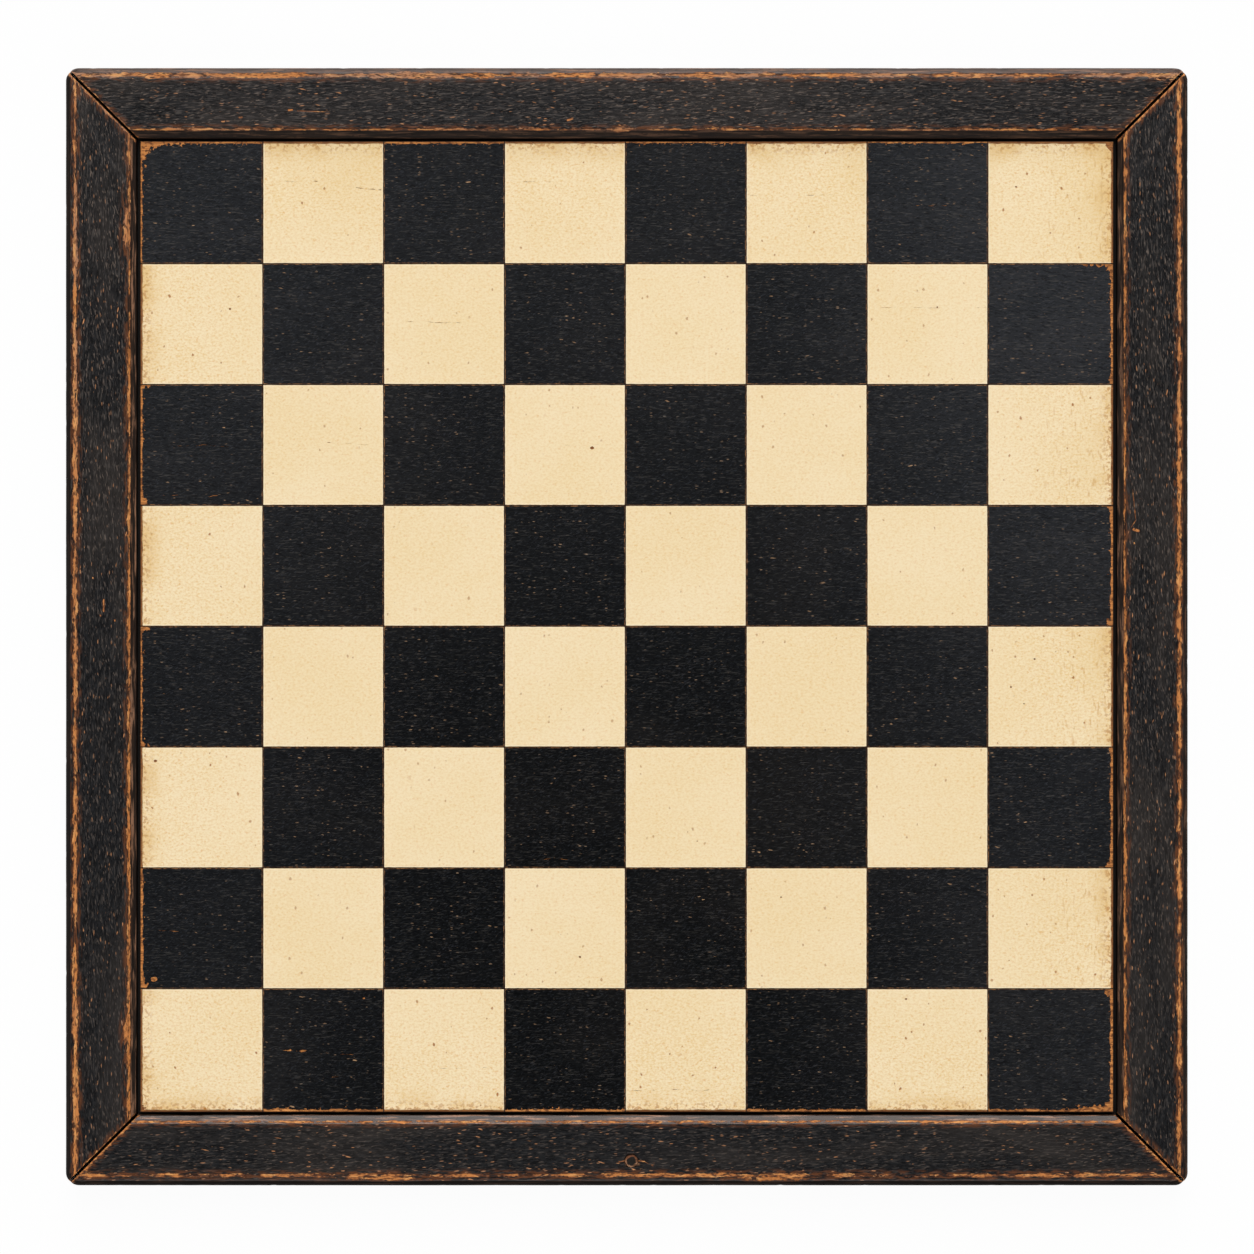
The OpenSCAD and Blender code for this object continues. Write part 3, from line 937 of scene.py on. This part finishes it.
def rail_material(name):
    """Black paint over brown wood, rubbed through at the arrises, with the grain along the rail"""
    rail = RAILS[name]
    seed = rail["seed"] / 10.0
    g = Graph("paint_" + name)
    lengthways = rail["turn"] in (0, 180)

    def grain(along, across, shift=0.0, turn=0.0):
        x, y = (along, across) if lengthways else (across, along)
        return g.scaled(x, y, across, seed + shift, math.radians(turn))

    normal = g.parts(g.add("NewGeometry").outputs["Normal"])
    bare = g.add("Attribute", attribute_name="bare").outputs["Fac"]

    # The paint: charcoal, browner in places, with short dashes along the grain
    mottled = g.noise(grain(400, 1500), 4, 0.7)
    colour = g.mix(g.rise(mottled, 0.36, 0.66), rgb(12, 14, 16), rgb(34, 35, 37))
    colour = g.lay(colour, g.marks(grain(14, 60, 57), 0.42, 0.66, detail=4), rgb(54, 49, 46), 0.55)
    colour = g.lay(colour, g.marks(grain(90, 330, 3), 0.50, 0.68, detail=3), rgb(8, 10, 12), 0.35)
    lively = g.rise(g.parts(g.place)[1], -0.22, 0.22, 0.62, 1.15)
    for place, low, high, stroke, strength in (
            (grain(240, 1700, 5), 0.55, 0.67, rgb(84, 78, 74), 0.5),
            (grain(340, 1900, 7, 9), 0.60, 0.70, rgb(122, 108, 98), 0.55),
            (grain(260, 1900, 11), 0.54, 0.65, rgb(4, 5, 6), 0.45)):
        colour = g.lay(colour, g.times(g.marks(place, low, high), lively), stroke, strength)

    # Small marks where the paint is rubbed thin, from grey to tan, and a few down to the wood
    near_wear = g.rise(bare, -6.0, -0.5, 0.6, 1.0)
    brownish = g.times(g.rise(bare, -2.6, -0.1),
                       g.marks(grain(170, 900, 37), 0.44, 0.60, detail=3))
    colour = g.lay(colour, brownish, rgb(112, 66, 38), 0.75)
    for count, largest, share, shift, turn in FLECKS:
        mask, lot = g.flecks(grain(count * 0.22, count, shift, turn), largest, share, seed + shift)
        mark = g.mix(g.rise(lot, 0.25, 0.9), rgb(122, 108, 98), rgb(214, 148, 98))
        strength = g.times(g.rise(lot, 0.0, 1.0, 0.4, 1.1), near_wear)
        colour = g.mix(g.times(mask, strength), colour, mark)

    # The bevel and the outer edge carry less paint, and brown wood shows through in streaks. The far
    # rail's lighter edge colour and the strongest streaks are in part painted highlights.
    sloping = g.rise(normal[2], 0.992, 0.92)
    across = {0: normal[1], 90: g.times(normal[0], -1.0), 180: g.times(normal[1], -1.0),
              -90: normal[0]}[rail["turn"]]
    outer = g.math("GREATER_THAN", across, 0.0)
    outer_streaks, bevel_streaks = rail["streaks"]
    streaky = g.between(outer, bevel_streaks, outer_streaks)
    brown = g.mix(g.rise(g.noise(grain(55, 900, 13), 3, 0.6), 0.3, 0.7), rgb(12, 8, 6), rgb(46, 32, 24))
    edge_brown_and_sheen = g.mix(g.noise(grain(70, 1000, 14), 3, 0.6), rgb(10, 7, 5), rgb(*rail["edge"]))
    brown = g.mix(outer, brown, edge_brown_and_sheen)
    streaks = g.times(g.marks(grain(60, 900, 15), 0.50, 0.66, detail=3), streaky)
    brown = g.mix(streaks, brown, rgb(142, 104, 80))
    brown = g.layers(brown, (grain(420, 1200, 16), 0.55, 0.65, (10, 7, 6), 0.6))
    colour = g.lay(colour, sloping, brown, 1.0)

    # Worn wood, with ragged and stained edges
    ragged = g.times_plus(g.noise(grain(150, 620, 25), 3, 0.6), 2.6, -1.3)
    fine = g.times_plus(g.noise(grain(600, 1300, 27), 2, 0.6), 1.5, -0.75)
    edge = g.plus(bare, g.plus(ragged, fine))
    for x0, y0, x1, y1, half_width in SCRATCHES[name]:
        off = g.math("DIVIDE", g.off_line(x0, y0, x1, y1), MM)
        depth = g.times_plus(off, -2.0, 2.0 * half_width)
        edge = g.larger(edge, g.times_plus(fine, 0.7, depth))
    wood = g.mix(g.rise(edge, 0.05, 0.55), rgb(118, 68, 35), rgb(198, 126, 66))
    # A pale, pinkish sheen on the worn wood, strongest towards the far side and on the outer edge: partly
    # fading and partly a painted highlight
    fading_and_sheen = g.rise(g.parts(g.place)[1], 0.04, 0.16, 0.25 * rail["fading_and_sheen"], rail["fading_and_sheen"])
    fading_and_sheen = g.times(fading_and_sheen, g.between(outer, 0.45, 1.0))
    wood = g.layers(
        wood, (g.scaled(30, 30, shift=seed), 0.36, 0.58, (166, 124, 98), fading_and_sheen),
        (grain(160, 800, 19), 0.52, 0.66, (232, 168, 102), 0.6),
        (grain(380, 1500, 21), 0.52, 0.64, (84, 46, 26), 0.8),
        (grain(300, 1200, 23), 0.58, 0.66, (28, 22, 19), 0.85))
    colour = g.lay(colour, g.rise(edge, -0.45, -0.08), rgb(70, 42, 27), 0.65)
    rubbed = g.rise(edge, -0.05, 0.15)
    colour = g.mix(rubbed, colour, wood)

    # The mitre faces are painted near black: painted shade of the mitre gap over dirty bare wood
    joint = g.add("Attribute", attribute_name="joint").outputs["Fac"]
    colour = g.lay(colour, g.rise(joint, 0.4, 0.6), rgb(9, 7, 6))

    # The underside was never painted, apart from a smear here and there
    below = g.rise(normal[2], -0.6, -0.8)
    aged = g.mix(g.marks(grain(25, 420, 29), 0.3, 0.7, detail=4), rgb(84, 56, 35), rgb(134, 95, 61))
    smeared = g.lay(aged, g.marks(grain(30, 60, 31), 0.55, 0.62, detail=3), rgb(40, 34, 30))
    colour = g.mix(below, colour, smeared)

    outer_rough, bevel_rough = rail["rough"]
    slope_rough = g.between(outer, bevel_rough, outer_rough)
    roughness = g.between(sloping, 0.19, slope_rough)
    roughness = g.times_plus(g.noise(grain(70, 1000, 33), 3, 0.65), 0.3, g.plus(roughness, -0.1))
    roughness = g.between(rubbed, roughness, 0.7)
    relief = g.times_plus(mottled, 0.4, g.times(fine, 0.35))
    relief = g.minus(relief, g.times(rubbed, 0.6))
    g.shader.inputs["Specular Tint"].default_value = (1.0, 0.90, 0.86, 1.0)
    return g.finish(colour, roughness, relief, 0.09, 0.3)


def line_distance(g, place, first):
    """Distance in metres from the nearest scribed line across one axis, and more beyond the last one"""
    near = g.math("PINGPONG", g.minus(place, first * MM), SQUARE / 2 * MM)
    return g.plus(near, g.rise(g.size_of(place), 175 * MM, 185 * MM, 0.0, 20 * MM))


def dark_paint():
    """Black paint in thin coats, with fibres of the wood and pale scuffs showing through, and a painted
    sheen towards the board's right, left and far edges
    """
    g = Graph("dark_square_paint")
    x, y, _ = g.parts(g.place)
    fine = g.noise(g.scaled(560, 1400), 3, 0.7)
    colour = g.mix(g.rise(fine, 0.35, 0.7), rgb(0, 1, 2), rgb(16, 18, 20))
    colour = g.lay(colour, g.marks(g.scaled(12, 14, shift=8), 0.45, 0.7, detail=3), rgb(28, 26, 25), 0.45)
    # Paler towards the right, left and far edges: a painted sheen of the lights, which also brings the
    # cloudy marks and livelier threads where it is strongest
    to_right = g.rise(x, 40 * MM, 190 * MM, 0.0, 0.75)
    to_left = g.rise(x, -60 * MM, -190 * MM, 0.0, 0.5)
    upward = g.rise(y, -90 * MM, 200 * MM, 0.0, 0.75)
    painted_sheen = g.plus(g.plus(to_right, to_left), g.times_plus(to_right, upward, upward))
    colour = g.lay(colour, painted_sheen, rgb(52, 54, 58), 0.30)
    cloudy = g.times(g.marks(g.scaled(22, 60, shift=18), 0.42, 0.66, detail=4), painted_sheen)
    colour = g.lay(colour, cloudy, rgb(66, 64, 66), 0.07)
    lively = g.rise(painted_sheen, 0.0, 1.6, 0.9, 1.55)
    for place, colour_of_threads, strength in (
            (g.scaled(640, 2000, shift=3, turn=math.radians(30)), rgb(60, 62, 68), 0.34),
            (g.scaled(300, 2300, shift=5), rgb(88, 84, 80), 0.28)):
        threads = g.times(g.marks(place, 0.57, 0.70), lively)
        colour = g.lay(colour, threads, colour_of_threads, strength)
    colour = g.lay(colour, g.marks(g.scaled(420, 1900, shift=6, turn=math.radians(-10)), 0.54, 0.66),
                   rgb(1, 1, 2), 0.5)

    # Rows of dashes along the grain, and single scuffs
    rows = g.marks(g.scaled(16, 300, shift=12), 0.50, 0.66, detail=3)
    for count, largest, share, shift, turn in FLECKS:
        mask, lot = g.flecks(g.scaled(count * 0.3, count, shift=shift, turn=math.radians(turn)),
                             largest, share * 0.8, 3.1 * shift)
        mark = g.mix(lot, rgb(108, 104, 98), rgb(170, 134, 100))
        strength = g.times_plus(rows, 0.5, g.rise(lot, 0.1, 1.0, 0.1, 0.6))
        colour = g.mix(g.times(mask, strength), colour, mark)

    # A brown edge along the scribed lines
    beside = g.smaller(line_distance(g, x, FIELD_X), line_distance(g, y, FIELD_Y))
    thin = g.plus(beside, g.times(g.noise(g.scaled(500, 500, shift=15), 2, 0.6), -0.4 * MM))
    dotted = g.mix(g.marks(g.scaled(600, 600, shift=19), 0.46, 0.62), rgb(84, 58, 40), rgb(180, 128, 82))
    colour = g.lay(colour, g.rise(thin, 0.3 * MM, 0.05 * MM), dotted, 0.8)
    roughness = g.times_plus(g.noise(g.scaled(300, 900, shift=17), 2, 0.6), 0.25, 0.33)
    return g.finish(colour, roughness, fine, 0.06, 0.07)


def light_paint():
    """Cream paint in thin coats, with brown specks, faint stains and a painted highlight beside the
    scribed lines
    """
    g = Graph("light_square_paint")
    x, y, _ = g.parts(g.place)
    broad = g.noise(g.scaled(18, 22), 4, 0.6)
    fine = g.noise(g.scaled(860, 1200, shift=3), 3, 0.65)
    colour = g.mix(g.rise(broad, 0.3, 0.7), rgb(247, 226, 186), rgb(243, 219, 173))
    outward = g.larger(g.size_of(x), g.size_of(y))
    aged = g.rise(outward, 135 * MM, 185 * MM, 0.42, 0.7)
    colour = g.mix(g.times(g.rise(fine, 0.6, 0.3, 0.0, 1.2), aged), colour, rgb(250, 231, 195))
    colour = g.mix(g.times(g.rise(fine, 0.45, 0.72, 0.0, 0.7), aged), colour, rgb(230, 188, 112))
    crazed = g.marks(g.scaled(1100, 1300, shift=4), 0.50, 0.70)
    colour = g.mix(g.times(crazed, g.times(aged, 0.38)), colour, rgb(226, 172, 84))
    blots = g.marks(g.scaled(640, 800, shift=5), 0.61, 0.74)
    colour = g.mix(g.times(blots, g.times(aged, 0.55)), colour, rgb(222, 158, 66))
    for count, largest, share, shift in (
            (420, 0.30, 0.26, 1.0), (260, 0.20, 0.24, 2.0), (90, 0.10, 0.25, 3.0)):
        mask, lot = g.flecks(g.scaled(count, count * 0.8, shift=shift), largest, share, 5.3 * shift)
        mark = g.mix(lot, rgb(224, 164, 78), rgb(160, 90, 16))
        strength = g.times(g.rise(lot, 0.1, 1.0, 0.3, 1.3), aged)
        colour = g.mix(g.times(mask, strength), colour, mark)

    # Up and down streaks near the right edge, and the paint darker, yellower and specked towards the rim
    at_right = g.rise(x, 158 * MM, 196 * MM)
    colour = g.lay(colour, g.times(g.marks(g.scaled(30, 20, shift=7), 0.35, 0.65), at_right),
                   rgb(232, 200, 140), 0.3)
    colour = g.lay(colour, g.times(g.marks(g.scaled(30, 24, shift=27), 0.35, 0.65),
                                   g.rise(y, 150 * MM, 196 * MM)), rgb(232, 200, 140), 0.35)
    streaked = g.marks(g.scaled(700, 170, shift=9), 0.56, 0.72, detail=3)
    colour = g.lay(colour, g.times(streaked, at_right), rgb(206, 150, 68), 0.55)
    to_rim = g.smaller(g.minus(PANEL_X * MM, g.size_of(x)),
                       g.minus(PANEL_Y * MM, g.size_of(y)))
    darker_near_rim = g.times(g.rise(to_rim, 12 * MM, 1 * MM), g.marks(g.scaled(60, 70, shift=21), 0.32, 0.72))
    colour = g.lay(colour, darker_near_rim, rgb(222, 180, 108), 0.6)
    specked = g.times(g.rise(to_rim, 7 * MM, 1.2 * MM), g.marks(g.scaled(700, 700, shift=23), 0.5, 0.64))
    colour = g.lay(colour, specked, rgb(180, 112, 34), 0.6)
    beside = g.smaller(line_distance(g, x, FIELD_X), line_distance(g, y, FIELD_Y))
    # A paler line beside the scribed lines: a painted highlight on the raised edge of the paint
    colour = g.lay(colour, g.rise(beside, 0.9 * MM, 0.5 * MM), rgb(255, 236, 200), 0.6)
    thin = g.plus(g.smaller(beside, g.minus(to_rim, 0.9 * MM)),
                  g.times(g.noise(g.scaled(500, 500, shift=15), 2, 0.6), -0.4 * MM))
    colour = g.lay(colour, g.rise(thin, 0.2 * MM, 0.0), rgb(150, 108, 64), 0.7)
    roughness = g.times_plus(g.noise(g.scaled(200, 300, shift=13), 2, 0.5), 0.2, 0.42)
    return g.finish(colour, roughness, g.plus(fine, broad), 0.018, 0.2)


def panel_material(node, seed):
    """The panel's wood: orange-brown where it is rubbed bare, dark in its lines with dirt and painted
    shade, and near black in its gaps with painted shade
    """
    g = Graph("wood_" + node)
    x, y, z = g.parts(g.place)
    normal = g.parts(g.add("NewGeometry").outputs["Normal"])
    wood, fibres = grain_wood(g, 60, 1300, seed, rgb(226, 156, 90), rgb(208, 136, 72), rgb(158, 97, 50))
    wood = g.layers(wood, (g.scaled(500, 900, shift=seed), 0.48, 0.62, (92, 52, 28), 0.8))

    # Darker wood beside the light squares, whose paint reaches nearer to the rim: dirt and painted shade
    waves = []
    for place, first in ((x, FIELD_X), (y, FIELD_Y)):
        held = g.larger(g.smaller(place, 199 * MM), -199 * MM)
        waves.append(g.math("SINE", g.times(g.minus(held, first * MM), math.pi / SQUARE / MM)))
    by_light = g.rise(g.times(*waves), -0.01, 0.01)
    wood = g.lay(wood, by_light, rgb(118, 76, 44), 0.75)
    # Dirt and painted shade in the scribed lines, and painted shade near black down in the gaps
    sunk = g.rise(z, (FACE_Z - 0.1) * MM, (FACE_Z - 0.3) * MM)
    colour = g.mix(sunk, wood, rgb(46, 31, 24))
    deep = g.rise(z, (FACE_Z - 0.6) * MM, (FACE_Z - 1.6) * MM)
    colour = g.mix(deep, colour, rgb(16, 11, 8))
    aged, _ = grain_wood(g, 14, 260, seed + 11, rgb(168, 126, 86), rgb(142, 100, 64), rgb(96, 62, 38))
    below = g.rise(normal[2], -0.6, -0.8)
    colour = g.mix(below, colour, aged)
    return g.finish(colour, 0.7, fibres, 0.08, 0.2)


def spline_material():
    """Plain, paler hardwood, with its grain across the mitre"""
    g = Graph("wood_spline")
    wood, fibres = grain_wood(g, 300, 300, 2, rgb(206, 170, 120), rgb(186, 146, 96), rgb(140, 102, 62))
    return g.finish(wood, 0.7, fibres, 0.05, 0.3)


def nail_material():
    """Iron browned by rust"""
    g = Graph("rusty_iron")
    blotches = g.noise(g.scaled(900, 900), 4, 0.65)
    colour = g.mix(g.rise(blotches, 0.35, 0.65), rgb(52, 38, 32), rgb(112, 62, 38))
    g.shader.inputs["Metallic"].default_value = 0.35
    return g.finish(colour, g.rise(blotches, 0.3, 0.7, 0.55, 0.85), blotches, 0.1)


def plug_material():
    """Black paint over the plug's end grain, worn to the wood in a ring round its rim"""
    g = Graph("paint_plug")
    x, y, _ = g.parts(g.place)
    away = g.add("VectorMath", {0: g.place, 1: (PLUG_X * MM, PLUG_Y * MM, RAIL_H * MM)},
                 operation="DISTANCE").outputs["Value"]
    ragged = g.times_plus(g.noise(g.scaled(700, 700), 3, 0.65), 1.6 * MM, -0.8 * MM)
    edge = g.plus(away, ragged)
    ring = g.rise(edge, (PLUG_R - 1.0) * MM, (PLUG_R - 0.8) * MM)
    nearer = g.rise(y, (PLUG_Y + 1.5) * MM, (PLUG_Y - 1.5) * MM)
    wood = g.mix(nearer, rgb(116, 74, 50), rgb(190, 142, 108))
    wood = g.layers(wood, (g.scaled(900, 1100, shift=3), 0.42, 0.62, (74, 42, 28), 0.8))
    paint = g.mix(g.noise(g.scaled(1200, 1200, shift=5), 3, 0.6), rgb(12, 10, 9), rgb(40, 34, 29))
    colour = g.mix(ring, paint, wood)
    return g.finish(colour, g.between(ring, 0.5, 0.8), ring, 0.05, 0.15)


def dress(piece, material):
    """Gives a piece one material"""
    piece.data.materials.clear()
    piece.data.materials.append(material)


def dress_node(node, material):
    """Gives a CAD node one material"""
    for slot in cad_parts[node].material_slots:
        slot.material = material


for rail_name in RAILS:
    dress(make_rail(rail_name), rail_material(rail_name))
dress(make_paint(True, "dark_square_coats", "dark_squares"), dark_paint())
dress(make_paint(False, "light_square_coats", "light_squares"), light_paint())
dress(make_plug(), plug_material())

for number, board in enumerate(("panel_board_top", "panel_board_middle", "panel_board_bottom")):
    dress_node(board, panel_material(board, 3.0 * number))
plain_wood = spline_material()
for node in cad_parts:
    if node.startswith("spline"):
        dress_node(node, plain_wood)
dress_node("corner_nails", nail_material())


# The studio: a white floor that curves up far away, a tall soft light behind the board, and a weaker
# one on the near side
FLOOR_Z = -0.3
FLOOR_R = 20000.0
WALL_R = 3000.0
FLOOR_GLOW = 0.96


def make_floor():
    """A round white floor that sweeps up into a wall, open under the board and when seen from below"""
    profile = [(0.0, FLOOR_Z), (600.0, FLOOR_Z), (FLOOR_R, FLOOR_Z)]
    for step in range(1, 13):
        angle = math.pi / 2 * step / 12
        profile.append((FLOOR_R + WALL_R * math.sin(angle), FLOOR_Z + WALL_R * (1 - math.cos(angle))))
    sides = 96
    points = [(0, 0, FLOOR_Z)]
    faces = []
    for ring, (radius, z) in enumerate(profile[1:]):
        for side, (u, v) in enumerate(circle(sides)):
            points.append((radius * u, radius * v, z))
            after = (side + 1) % sides
            if ring == 0:
                faces.append((0, 1 + side, 1 + after))
            else:
                low, high = 1 + (ring - 1) * sides, 1 + ring * sides
                faces.append((low + side, high + side, high + after, low + after))
    mesh = bpy.data.meshes.new("floor")
    mesh.from_pydata((np.array(points) * MM).tolist(), [], faces)
    mesh.shade_smooth()
    floor = new_object("floor", mesh)
    g = Graph("studio_floor")
    tree = g.tree
    g.shader.inputs["Base Color"].default_value = (0.85, 0.85, 0.85, 1)
    g.shader.inputs["Roughness"].default_value = 1.0
    g.shader.inputs["Specular IOR Level"].default_value = 0.0
    glow = g.add("Emission", {"Color": (1, 1, 1, 1), "Strength": 1.0})
    ray = g.add("LightPath").outputs
    seen = g.larger(ray["Is Camera Ray"], ray["Is Glossy Ray"])
    seen = g.larger(seen, ray["Is Transmission Ray"])
    x, y, _ = g.parts(g.place)
    past_x = g.larger(g.minus(g.size_of(x), (HALF_W - CORNER_R) * MM))
    past_y = g.larger(g.minus(g.size_of(y), (HALF_H - CORNER_R) * MM))
    beyond = g.math("SQRT", g.plus(g.math("POWER", past_x, 2.0), g.math("POWER", past_y, 2.0)))
    seen = g.times(seen, g.rise(beyond, (CORNER_R - 1.2) * MM, (CORNER_R - 0.4) * MM))
    both = g.add("MixShader", {0: g.times(seen, FLOOR_GLOW), 1: g.shader.outputs[0],
                               2: glow.outputs[0]})
    behind = g.add("NewGeometry").outputs["Backfacing"]
    hole = g.rise(beyond, 0.5 * MM, 1.5 * MM, 1.0, 0.0)
    open_floor = g.add("MixShader", {0: g.larger(behind, hole), 1: both.outputs[0],
                                     2: g.add("BsdfTransparent").outputs[0]})
    tree.links.new(open_floor.outputs[0], tree.nodes["Material Output"].inputs[0])
    dress(floor, g.material)


def soft_light(name, place, size, power):
    """A rectangular lamp at a place in metres, aimed at the board"""
    data = bpy.data.lights.new(name, "AREA")
    data.shape = "RECTANGLE"
    data.size, data.size_y = size
    data.energy = power
    lamp = new_object(name, data)
    lamp.location = place
    lamp.rotation_euler = (Vector() - Vector(place)).to_track_quat("-Z", "Y").to_euler()


make_floor()
# Place and size in metres, and power in watts
soft_light("window", (0.0, 10.4, 8.3), (7.4, 16.6), 2330)
soft_light("near_fill", (0.0, -5.5, 6.0), (5.0, 4.0), 185)

WORLD_STRENGTH = 0.14
world = bpy.data.worlds.new("studio")
world.use_nodes = True
world.node_tree.nodes["Background"].inputs[0].default_value = (1, 1, 1, 1)
world.node_tree.nodes["Background"].inputs[1].default_value = WORLD_STRENGTH
bpy.context.scene.world = world
bpy.context.scene.view_settings.view_transform = "Standard"

# The camera looks straight down. One pixel of the 1254 pixel picture is 0.4139 mm at the rails.
PICTURE_PX = 1254
PIXEL_MM = 0.4139
LENS = 100.0
SENSOR = 36.0
MIDDLE_PX = (626.8, 626.7)
RAIL_EDGE_Z = 15.7
view_mm = PICTURE_PX * PIXEL_MM
camera_data = bpy.data.cameras.new("camera")
camera_data.lens = LENS
camera_data.sensor_width = SENSOR
camera_data.clip_end = 50
camera = new_object("camera", camera_data)
camera.location = ((PICTURE_PX / 2 - MIDDLE_PX[0]) * PIXEL_MM * MM,
                   (MIDDLE_PX[1] - PICTURE_PX / 2) * PIXEL_MM * MM,
                   (RAIL_EDGE_Z + view_mm * LENS / SENSOR) * MM)
bpy.context.scene.camera = camera
